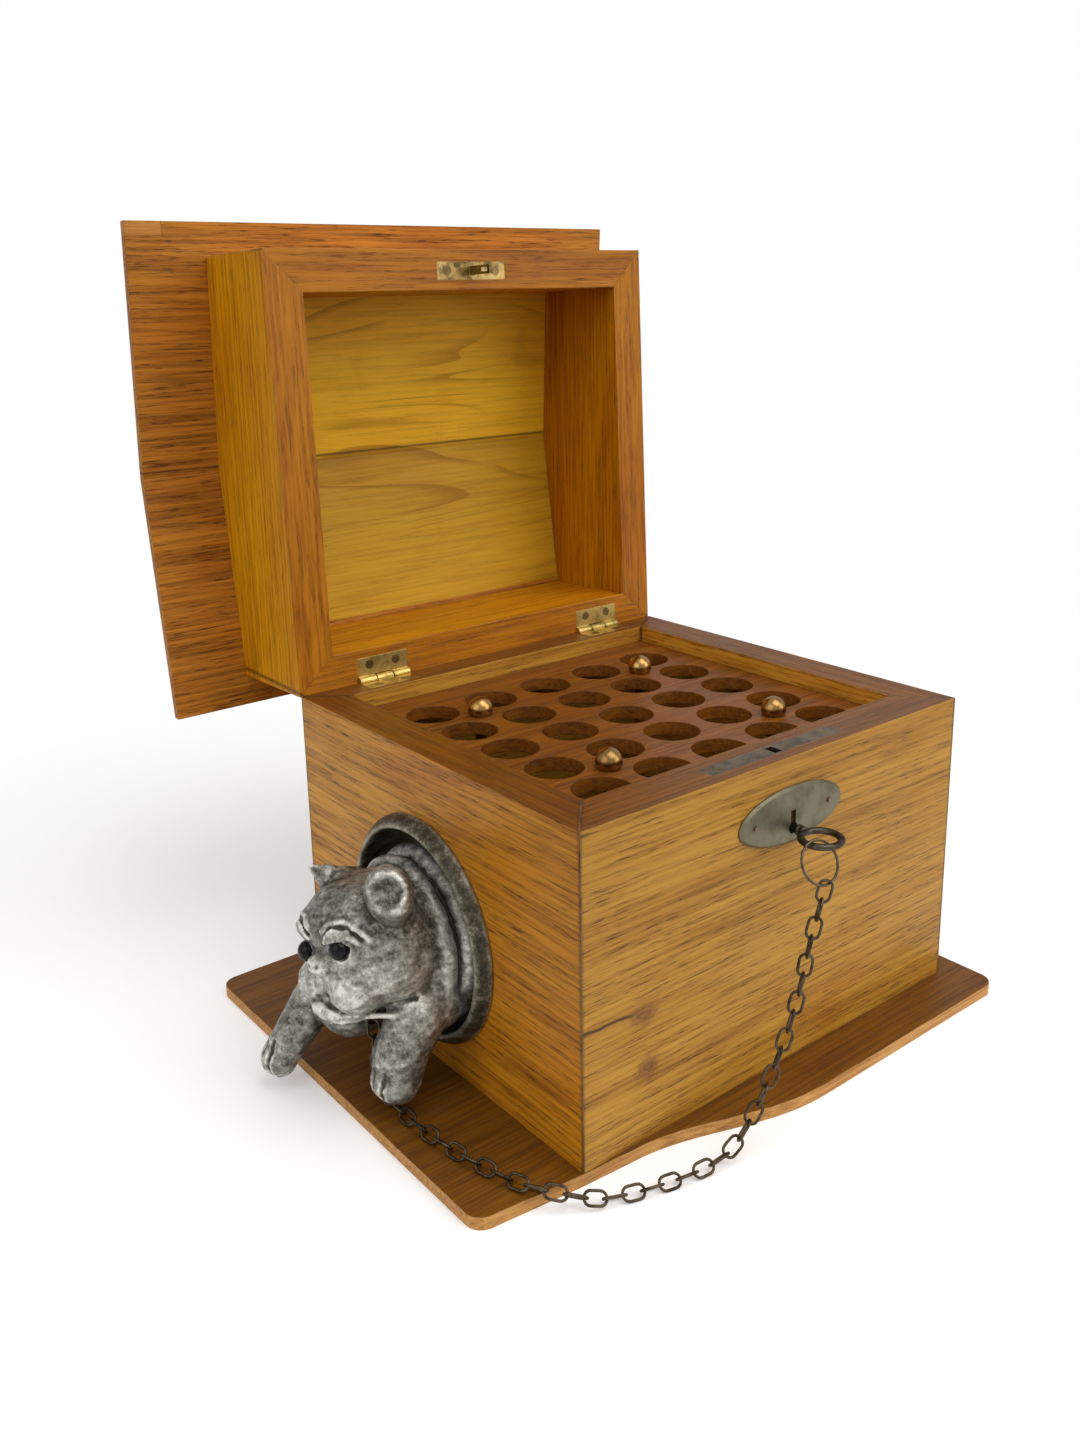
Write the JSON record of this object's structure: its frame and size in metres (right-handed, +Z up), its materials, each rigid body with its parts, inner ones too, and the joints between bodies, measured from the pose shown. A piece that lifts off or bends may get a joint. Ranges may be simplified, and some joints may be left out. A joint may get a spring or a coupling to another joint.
{
  "type": "humidor",
  "caption": "Wooden cigar humidor shaped as a dog kennel, gabled hinged lid, lift-out perforated rack, lock with key and guard chain, cast bulldog in a round porthole.",
  "frame": {"origin": "centre of the box on the underside of the base board, where it stands on a table", "axes": "+Z up; -Y is the front face with the lock; -X is the face the dog comes out of; +X along the front to the right; rest pose has the lid standing open"},
  "size_m": [0.2926, 0.2885, 0.3388],
  "materials": {
    "box_wood": "satin",
    "lid_wood": "satin",
    "roof_wood": "satin",
    "splice_wood": "satin",
    "base_wood": "satin",
    "rack_wood": "satin",
    "pewter": "rough cast",
    "dark_iron": "worn",
    "brass": "polished",
    "steel": "dull",
    "glass_eye": "gloss"
  },
  "bodies": {
    "box": {"base_board": "base_wood", "box_back_panel": "box_wood", "box_dog_panel": "box_wood", "box_end_panel": "box_wood", "box_front_panel": "box_wood", "collar_staple": "dark_iron", "dog_backplate": "pewter", "dog_backplate_screws": "pewter", "dog_body": "pewter", "dog_ears": "pewter", "dog_eyes": "glass_eye", "dog_far_foreleg": "pewter", "dog_head": "pewter", "dog_jowls": "pewter", "dog_near_foreleg": "pewter", "escutcheon": "steel", "escutcheon_pins": "steel", "guard_chain": "dark_iron", "hinge_box_screws": "brass", "hinge_left_box_leaf": "brass", "hinge_left_pin": "brass", "hinge_right_box_leaf": "brass", "hinge_right_pin": "brass", "lock_case": "steel", "lock_selvage": "steel", "lock_selvage_screws": "steel", "porthole_ring": "pewter"},
    "lid": {"lid_lock_rail": "lid_wood", "lid_hinge_rail": "lid_wood", "lid_dog_gable": "lid_wood", "lid_end_gable": "lid_wood", "roof_lock_slope": "roof_wood", "roof_hinge_slope": "roof_wood", "roof_corner_splice": "splice_wood", "hinge_left_lid_leaf": "brass", "hinge_right_lid_leaf": "brass", "hinge_lid_screws": "brass", "link_plate": "brass", "link_plate_screws": "brass"},
    "rack": {"rack_top_board": "rack_wood", "rack_bottom_board": "rack_wood", "rack_posts": "brass", "rack_knobs": "brass"},
    "key": {"key": "dark_iron"},
    "bolt": {"lock_bolt": "steel"},
    "key_ring": {"key_ring": "dark_iron"},
    "collar_ring": {"collar_ring": "dark_iron"}
  },
  "joints": [
    {"name": "lid_hinge", "type": "hinge", "parent": "box", "child": "lid", "pos_m": [0, 0.0956, 0.1354], "axis": [1, 0, 0], "range_deg": [0, 92.2]},
    {"name": "rack_lift", "type": "slide", "parent": "box", "child": "rack", "axis": [0, 0, -1], "range_m": [-0.135, 0]},
    {"name": "key_turn", "type": "hinge", "parent": "box", "child": "key", "pos_m": [0, -0.1, 0.1065], "axis": [0, 1, 0], "range_deg": [0, 90], "deforming": ["guard_chain"]},
    {"name": "lock_bolt_slide", "type": "slide", "parent": "box", "child": "bolt", "axis": [1, 0, 0], "range_m": [0, 0.0046]},
    {"name": "key_ring_swing", "type": "hinge", "parent": "key", "child": "key_ring", "pos_m": [-0.0053, -0.1153, 0.1065], "axis": [0.9023, -0.4311, 0], "range_deg": [-10, 10], "deforming": ["guard_chain"]},
    {"name": "collar_ring_swing", "type": "hinge", "parent": "box", "child": "collar_ring", "pos_m": [-0.135, -0.0055, 0.0382], "axis": [0, 1, 0], "range_deg": [-25, 25], "deforming": ["guard_chain"]}
  ],
  "couplings": [
    {"joint": "lock_bolt_slide", "follows": "key_turn", "m_per_rad": 0.0029285}
  ]
}
